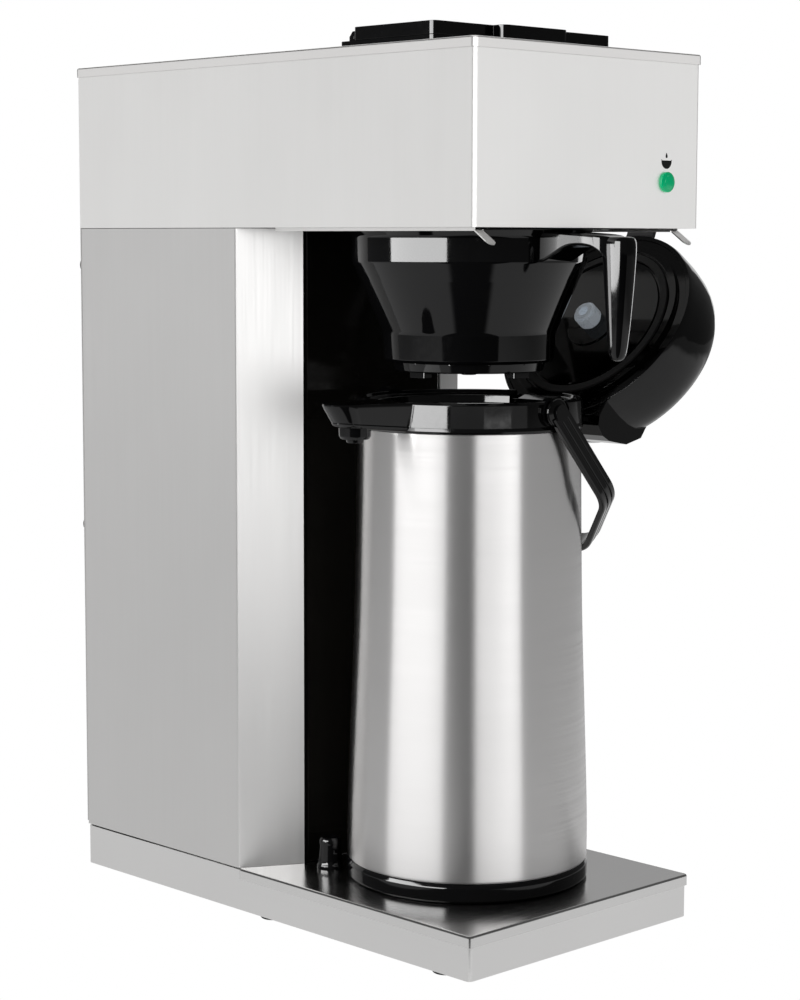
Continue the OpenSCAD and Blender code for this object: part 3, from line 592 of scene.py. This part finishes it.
def make_funnel():
    """The bowl and its flat-backed rim, with ribs and four small feet under it."""
    centre = (0, AXIS_Y)
    outside = [(5, -93), (48.6, -93, 1.2), (50, -86.8, 0.6), (54.4, -86.8, 0.8), (56, -84.8, 0.8),
               (57.2, -67.5, 7), (71.6, -34, 8), (77.1, -22, 3.4), (77.4, -5.5, 3)]
    rim = [(81, -1.3, 0.6), (93.5, -1.3, 0.3), (93.5, -0.3, 0.3), (76, -0.3, 0.6)]
    inside = [(74.2, -8, 4), (74, -20, 4), (69, -32.5, 8), (54, -66, 8), (52.6, -83, 2), (45, -84, 2),
              (5, -89)]
    build = Build().lathe(fillet(raised(outside + rim + inside, HEAD_LOW)), centre)
    rim_back_y = 194
    geometry = build.mesh.verts[:] + build.mesh.edges[:] + build.mesh.faces[:]
    sliced = bmesh.ops.bisect_plane(build.mesh, geom=geometry, plane_co=at(0, rim_back_y, 0),
                                    plane_no=(0, 1, 0), clear_outer=True)
    edges = [e for e in sliced["geom_cut"] if isinstance(e, bmesh.types.BMEdge)]
    bmesh.ops.edgeloop_fill(build.mesh, edges=edges)
    axis = Matrix.Translation((*centre, 0))
    for turn in turns(4):
        build.place = axis @ Matrix.Rotation(turn, 4, "Z")
        build.slab(rounded(41, 48, -7, 7, 1), HEAD_LOW - 96.6, HEAD_LOW - 92.5, 0.5)
    for turn in turns(12):
        build.place = axis @ Matrix.Rotation(turn, 4, "Z")
        build.slab(rounded(20, 50, -1, 1, 0.8), HEAD_LOW - 88, HEAD_LOW - 80, 0.4)
    build.place = Matrix.Identity(4)
    drain = fillet(raised([(3.2, -96), (5, -96, 0.6), (5, -92), (3.2, -92)], HEAD_LOW))
    build.lathe(drain, centre, segments=48)
    build.piece("funnel_bowl", "gloss", "brew_funnel")


def make_grip():
    """A flat-sided arm with an arch under it, and a rounded grip that hangs from its end."""
    build = Build()
    # y, top and bottom from the head, half width
    web = [(34, -1.4, -22, 14.4), (28, -1.7, -21, 14.4), (20, -2.1, -17.1, 14.3), (12, -2.6, -13.1, 14.3),
           (5, -3.0, -11.2, 14.2), (-2, -3.4, -10.8, 14.1), (-8, -3.8, -11.4, 13.9),
           (-12, -4.2, -12.4, 13.4), (-15.5, -4.6, -14.4, 12.2), (-18.5, -5.0, -17.4, 10.4),
           (-21, -5.6, -21, 8.4)]
    build.loft([[(x, y, HEAD_LOW + z) for x, z in rounded(-wide, wide, bottom, top, 1.8)()]
                for y, top, bottom, wide in smooth_rows(web)])
    # z from the head, y, half width along x, half depth along y
    grip = [(-5.4, -22.6, 5.0, 6.4), (-5.9, -22.8, 7.4, 9.0), (-7.4, -23, 8.7, 10.4), (-10, -23.1, 9.1, 10.9),
            (-16, -23.2, 9.1, 10.9), (-26, -23.3, 8.7, 10.2), (-39, -23.3, 8.1, 9.2), (-50, -23.2, 7.4, 8.3),
            (-60, -23.1, 6.8, 7.4), (-70, -22.9, 6.0, 6.3), (-76, -22.8, 5.4, 5.5), (-79.6, -22.7, 4.4, 4.5),
            (-81.4, -22.7, 3.0, 3.1), (-82.2, -22.7, 1.2, 1.2)]
    build.loft([[(u, y + v, HEAD_LOW + z) for u, v in superellipse(wide, deep)]
                for z, y, wide, deep in smooth_rows(grip)])
    build.piece("funnel_grip", "gloss", "brew_funnel")


# ---------------------------------------------------------------- bail
def make_bail():
    """The carrying bail: a band bent into a U with two grooves along its outer face."""
    half = fillet([(0, 79), (77, 79, 26), (126.5, 34, 30), (128, 0)], closed=False, step=math.radians(4))
    line = half + [Vector((p.x, -p.y)) for p in reversed(half[:-1])]
    section = fillet([(-7.6, -2.2, 1.2), (7.6, -2.2, 1.2), (7.6, 2.2, 1.4), (3.6, 2.2, 0.5), (3.0, 1.2, 0.3),
                      (2.2, 1.2, 0.3), (1.6, 2.2, 0.5), (-1.6, 2.2, 0.5), (-2.2, 1.2, 0.3), (-3.0, 1.2, 0.3),
                      (-3.6, 2.2, 0.5), (-7.6, 2.2, 1.4)])
    rings = []
    for i, p in enumerate(line):
        run = (line[min(i + 1, len(line) - 1)] - line[max(i - 1, 0)]).normalized()
        across = Vector((-run.y, run.x))
        rings.append([(p.x + across.x * v, p.y + across.y * v, w) for w, v in section])
    build = Build(BAIL_TURN).loft(rings)
    for side in (-1, 1):
        inner, outer = side * 77, side * 81.4
        build.boss(fillet([(3.1, inner), (9.6, inner, 0.8), (9.6, outer, 1.2), (3.1, outer)]))
    build.piece("bail_band", "gloss", "bail_handle")


# ---------------------------------------------------------------- sign over the lamp
def make_sign():
    """A plain drop over a half-filled cup, printed on the head over the lamp."""
    x, z = 72, HEAD_LOW + 43
    radius, lip, inner = 5, 0.9, 4.5
    drop = [(x + 1.3 * math.sin(t) * math.sin(t / 2) ** 1.5, z + 3.6 + 1.7 * math.cos(t)) for t in turns(24)]
    half_turn = [math.pi + math.pi * k / 24 for k in range(25)]
    cup = [(x + radius * math.cos(t), z + radius * math.sin(t)) for t in half_turn]
    rim = [(x - radius, z), (x - radius, z + lip), (x - inner, z + lip), (x - inner, z + 0.3),
           (x + inner, z + 0.3), (x + inner, z + lip), (x + radius, z + lip), (x + radius, z)]
    build = Build()
    for outline in (drop, cup, rim):
        build.loft([[(u, -0.12, w) for u, w in outline], [(u, 0.05, w) for u, w in outline]])
    build.piece("brewing_sign", "print", body="cabinet", slot="black_matte")


make_sheet_metal()
make_airpot()
make_collar()
make_spout()
make_funnel()
make_grip()
make_bail()
make_sign()


# ---------------------------------------------------------------- studio
VIEW = Vector((0.69, 0.72, 0)).normalized()
STEEL = {"head", "lid", "column", "base", "base_top", "inner", "zinc"}
GLOSS = {"gloss", "panel", "matte", "grey", "rubber", "green", "white"}
FLOOR_LIGHT = 0.72
ROOM_LIGHT = 0.10
# The dim wedge of the floor: how fast it narrows, metres over which its edge blends, and its glow
WEDGE_SLOPE, WEDGE_EDGE, WEDGE_LIGHT = 1.15, (0.16, 0.24), 0.04
# Metres over which the floor's glow fades with distance, and the share that is left
FAR_EDGE, FAR_SHARE = (1.6, 2.8), 0.3
# The camera, with its place in millimetres and y from the front face
CAMERA_PLACE = (-1108.6, -976.5, 456.5)
CAMERA_YAW, CAMERA_PITCH, CAMERA_ROLL = (math.radians(a) for a in (44.01, 6.33, 0.13))
CAMERA_LENS = 84.53


def make_floor():
    """A plain white floor. In reflections it is dim far away, and in a wedge that opens to the camera."""
    mesh = bpy.data.meshes.new("floor")
    half = 6.0
    corners = [(-half, -half, 0), (half, -half, 0), (half, half, 0), (-half, half, 0)]
    mesh.from_pydata(corners, [], [(0, 1, 2, 3)])
    floor = bpy.data.objects.new("floor", mesh)
    bpy.context.scene.collection.objects.link(floor)
    g = Graph("floor")
    place = g.add("ShaderNodeTexCoord")
    parts = []
    for direction in (-VIEW, VIEW.cross(Vector((0, 0, 1)))):
        part = g.add("ShaderNodeVectorMath", operation="DOT_PRODUCT")
        part.inputs[1].default_value = direction
        g.link(place, "Object", part, "Vector")
        parts.append(part)
    towards_camera, sideways = parts
    width = g.add("ShaderNodeMath", operation="ABSOLUTE")
    g.link(sideways, "Value", width, 0)
    wedge = g.add("ShaderNodeMath", operation="MULTIPLY_ADD")
    wedge.inputs[1].default_value = -WEDGE_SLOPE
    g.link(width, "Value", wedge, 0)
    g.link(towards_camera, "Value", wedge, 2)
    fade = g.ramp(wedge, "Value", *WEDGE_EDGE, FLOOR_LIGHT, WEDGE_LIGHT, interpolation_type="SMOOTHSTEP")
    away = g.add("ShaderNodeVectorMath", operation="LENGTH")
    g.link(place, "Object", away, "Vector")
    near = g.ramp(away, "Value", *FAR_EDGE, 1.0, FAR_SHARE, interpolation_type="SMOOTHSTEP")
    strength = g.add("ShaderNodeMath", operation="MULTIPLY")
    g.link(fade, "Result", strength, 0)
    g.link(near, "Result", strength, 1)
    glow = g.add("ShaderNodeEmission")
    g.link(strength, "Value", glow, "Strength")
    seen = g.add("ShaderNodeLightPath")
    white = g.add("ShaderNodeEmission")
    white.inputs["Strength"].default_value = 1.0
    mix = g.add("ShaderNodeMixShader")
    g.link(seen, "Is Camera Ray", mix, "Fac")
    g.link(glow, "Emission", mix, 1)
    g.link(white, "Emission", mix, 2)
    g.link(mix, "Shader", g.out, "Surface")
    mesh.materials.append(g.material)


def make_world():
    world = bpy.data.worlds.new("studio")
    bpy.context.scene.world = world
    world.use_nodes = True
    tree = world.node_tree
    tree.nodes.clear()
    out = tree.nodes.new("ShaderNodeOutputWorld")
    room = tree.nodes.new("ShaderNodeBackground")
    room.inputs["Strength"].default_value = ROOM_LIGHT
    plain = tree.nodes.new("ShaderNodeBackground")
    plain.inputs["Strength"].default_value = 1.0
    for shade in (room, plain):
        shade.inputs["Color"].default_value = (1, 1, 1, 1)
    seen = tree.nodes.new("ShaderNodeLightPath")
    mix = tree.nodes.new("ShaderNodeMixShader")
    tree.links.new(seen.outputs["Is Camera Ray"], mix.inputs["Fac"])
    tree.links.new(room.outputs["Background"], mix.inputs[1])
    tree.links.new(plain.outputs["Background"], mix.inputs[2])
    tree.links.new(mix.outputs["Shader"], out.inputs["Surface"])


def receivers(name, kinds):
    """The pieces whose material or name is one of kinds, as the collection that receives a light."""
    group = bpy.data.collections.new(name)
    chosen = {MATERIALS[k] for k in kinds if k in MATERIALS}
    for obj in bpy.data.objects:
        if obj.type != "MESH":
            continue
        if obj.name in kinds or obj.data.materials and obj.data.materials[0] in chosen:
            group.objects.link(obj)
    return group


def softbox(name, turn, rise, reach, width, height, radiance, kinds, aim=(0, 0.05, 0.3)):
    """A rectangular light that faces aim from reach metres away.

    turn is its angle round from the camera, towards the right of the view, and rise its angle up, in degrees.
    """
    bearing = math.atan2(-VIEW.y, -VIEW.x) + math.radians(turn)
    lift = math.radians(rise)
    away = Vector((math.cos(bearing) * math.cos(lift), math.sin(bearing) * math.cos(lift), math.sin(lift)))
    light = bpy.data.lights.new(name, "AREA")
    light.shape = "RECTANGLE"
    light.size, light.size_y = width, height
    light.energy = radiance * math.pi * width * height
    obj = bpy.data.objects.new(name, light)
    obj.location = Vector(aim) + away * reach
    obj.rotation_mode = "QUATERNION"
    obj.rotation_quaternion = (-away).to_track_quat("-Z", "Y")
    obj.visible_camera = False
    bpy.context.scene.collection.objects.link(obj)
    obj.light_linking.receiver_collection = receivers(name, kinds)


def make_lights():
    """Each light is seen only by the materials or pieces named last in its row."""
    walls = STEEL - {"base_top"}
    funnel = {"funnel_bowl", "funnel_grip"}
    # name, turn, rise, reach, width, height, radiance, receivers, aim
    softbox("left wall light", -86, 3, 2.4, 3.0, 2.6, 0.77, walls)
    softbox("right wall light", 84, 3, 2.4, 3.0, 2.6, 0.77, walls)
    softbox("front wall light", 10, 5, 1.3, 1.9, 1.8, 2.0, walls)
    softbox("top light", 0, 88, 2.0, 2.0, 2.0, 1.0, walls)
    softbox("back light", 180, 25, 2.6, 2.6, 2.2, 0.8, walls | GLOSS)
    softbox("base light", 180, 25, 2.6, 2.6, 2.2, 0.30, {"base_top"})
    softbox("airpot left light", -51.5, 12, 1.6, 1.75, 2.6, 1.75, {"pot"})
    softbox("airpot right light", 28.5, 12, 1.6, 1.30, 2.6, 1.78, {"pot"})
    softbox("airpot middle light", -9, 12, 1.6, 0.5, 2.6, 0.2, {"pot"})
    softbox("airpot edge light", -124, 12, 1.6, 0.30, 2.6, 2.2, {"pot"})
    softbox("window", -51.5, 12, 1.8, 2.08, 1.0, 17, {"gloss"}, (0, 0.05, 0.31))
    softbox("side light", -30, 20, 1.8, 2.1, 1.2, 1.5, GLOSS - {"gloss"})
    softbox("web card", -92, 0, 1.6, 0.4, 0.7, 8, {"funnel_grip"}, (0, -0.1, 0.45))
    softbox("right edge card", 135, 0, 1.6, 0.5, 1.6, 3, funnel)
    softbox("left edge card", -135, 0, 0.19, 0.06, 0.16, 1.4, {"funnel_bowl"}, (-0.07, -0.05, 0.38))
    softbox("low card", 18.5, 0, 1.3, 2.07, 0.2, 0.4, {"collar_ring"}, (0, 0, 0.25))
    softbox("low glint", 26, 0, 1.25, 0.6, 0.006, 5, {"collar_ring"}, (0, 0, 0.279))


def make_camera():
    yaw, pitch, roll = CAMERA_YAW, CAMERA_PITCH, CAMERA_ROLL
    look = Vector((math.sin(yaw) * math.cos(pitch), math.cos(yaw) * math.cos(pitch), -math.sin(pitch)))
    side = Vector((math.cos(yaw), -math.sin(yaw), 0))
    up = side.cross(look)
    right = side * math.cos(roll) + up * math.sin(roll)
    above = up * math.cos(roll) - side * math.sin(roll)
    data = bpy.data.cameras.new("camera")
    data.lens, data.sensor_width = CAMERA_LENS, 36
    data.clip_start, data.clip_end = 0.05, 50
    camera = bpy.data.objects.new("camera", data)
    camera.matrix_world = Matrix((right, above, -look)).transposed().to_4x4()
    camera.location = at(*CAMERA_PLACE)
    bpy.context.scene.collection.objects.link(camera)
    bpy.context.scene.camera = camera


make_floor()
make_world()
make_lights()
make_camera()
bpy.context.scene.view_settings.view_transform = "Standard"
